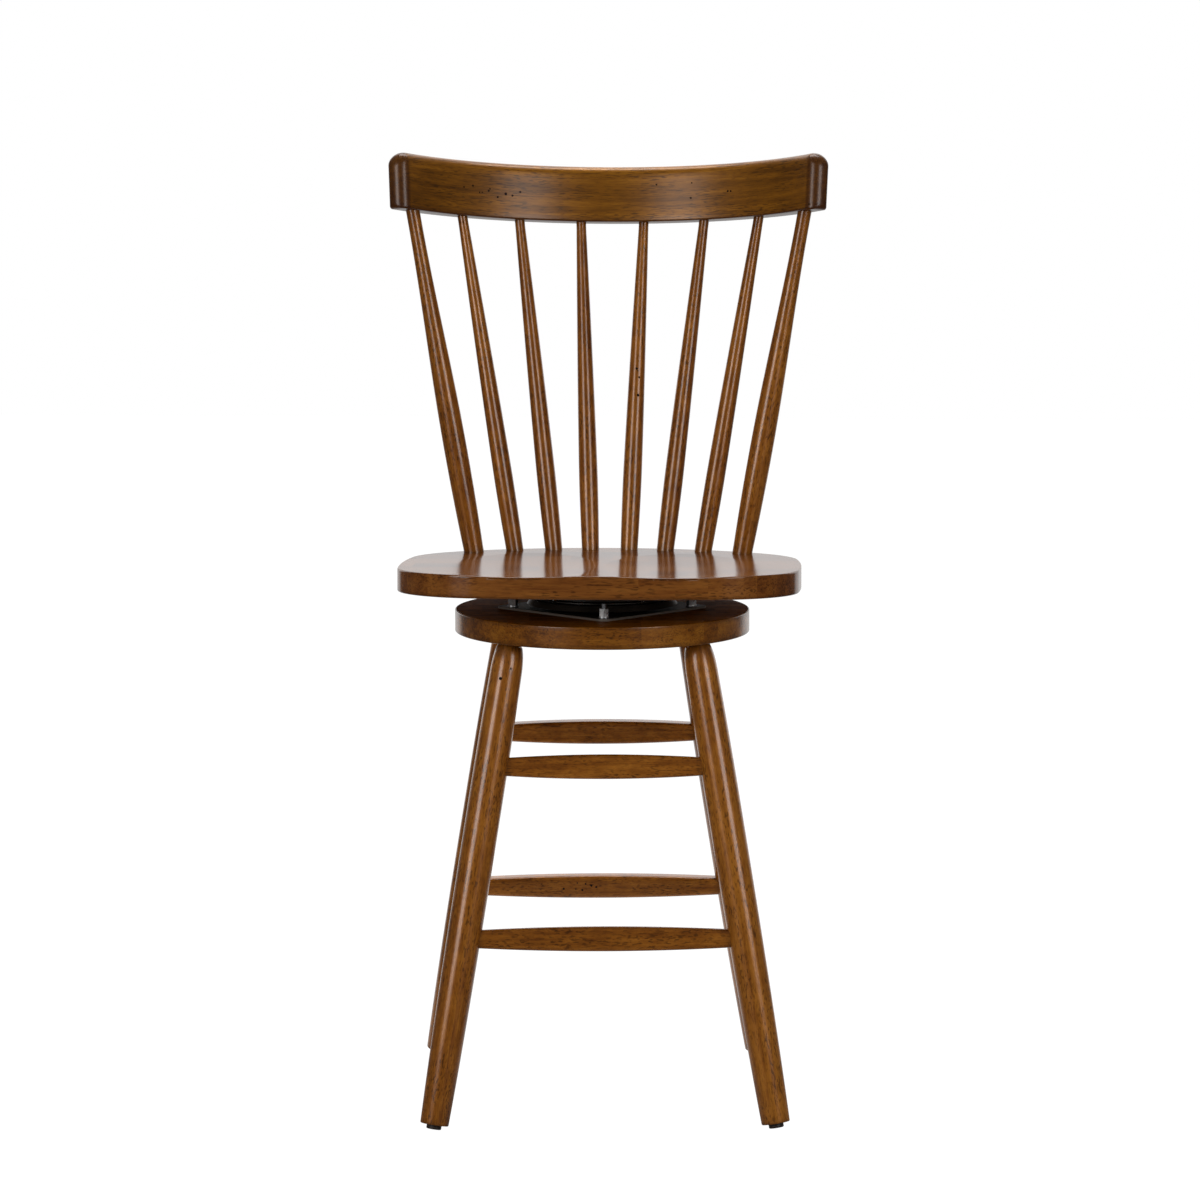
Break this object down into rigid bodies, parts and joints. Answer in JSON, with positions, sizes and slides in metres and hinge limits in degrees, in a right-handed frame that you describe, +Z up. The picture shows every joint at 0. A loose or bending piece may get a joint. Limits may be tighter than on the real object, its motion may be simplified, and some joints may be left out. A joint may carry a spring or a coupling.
{
  "type": "swivel counter chair",
  "caption": "Counter-height wooden chair: spindle back and saddle seat that turn on a ball-bearing swivel, over a round disc with splayed legs and stretchers.",
  "frame": {"origin": "floor level, under the middle of the chair's overall outline", "axes": "+Z up, +X to the right and -Y to the front as one looks at the chair from its front; the swivel axis stands 26.2 mm in front of the origin"},
  "size_m": [0.523, 0.5015, 1.1027],
  "materials": {
    "seat_wood": "gloss lacquer",
    "crest_wood": "satin lacquer",
    "spindle_wood": "satin lacquer",
    "disc_wood": "satin lacquer",
    "leg_wood": "satin lacquer",
    "stretcher_wood": "satin lacquer",
    "black_steel": "semi-gloss black",
    "zinc_steel": "bright zinc",
    "ball_steel": "polished",
    "glide_plastic": "matte dark brown"
  },
  "bodies": {
    "base": {"base_disc": "disc_wood", "leg_front_left": "leg_wood", "leg_front_right": "leg_wood", "leg_rear_left": "leg_wood", "leg_rear_right": "leg_wood", "stretcher_front_upper": "stretcher_wood", "stretcher_front_lower": "stretcher_wood", "stretcher_rear_upper": "stretcher_wood", "stretcher_rear_lower": "stretcher_wood", "stretcher_left_upper": "stretcher_wood", "stretcher_left_lower": "stretcher_wood", "stretcher_right_upper": "stretcher_wood", "stretcher_right_lower": "stretcher_wood", "foot_glides": "glide_plastic", "glide_nails": "zinc_steel", "swivel_lower_plate": "black_steel", "swivel_lower_dish": "black_steel", "pivot_rivet": "zinc_steel", "pivot_washer": "zinc_steel", "swivel_bolts": "zinc_steel", "bolt_washers": "zinc_steel", "bolt_nuts": "zinc_steel", "lock_nuts": "zinc_steel"},
    "bearing": {"ball_cage": "zinc_steel", "bearing_balls": "ball_steel"},
    "seat": {"swivel_upper_dish": "black_steel", "swivel_upper_plate": "black_steel", "seat_screws": "zinc_steel", "seat_board": "seat_wood", "spindle_1": "spindle_wood", "spindle_2": "spindle_wood", "spindle_3": "spindle_wood", "spindle_4": "spindle_wood", "spindle_5": "spindle_wood", "spindle_6": "spindle_wood", "back_post_left": "spindle_wood", "back_post_right": "spindle_wood", "crest_rail": "crest_wood"}
  },
  "joints": [
    {"name": "seat_swivel", "type": "hinge", "parent": "base", "child": "seat", "pos_m": [0, -0.02619, 0.57638], "axis": [0, 0, 1], "continuous": true},
    {"name": "bearing_roll", "type": "hinge", "parent": "base", "child": "bearing", "pos_m": [0, -0.02619, 0.57638], "axis": [0, 0, 1], "continuous": true}
  ],
  "couplings": [
    {"joint": "bearing_roll", "follows": "seat_swivel", "ratio": 0.5}
  ]
}
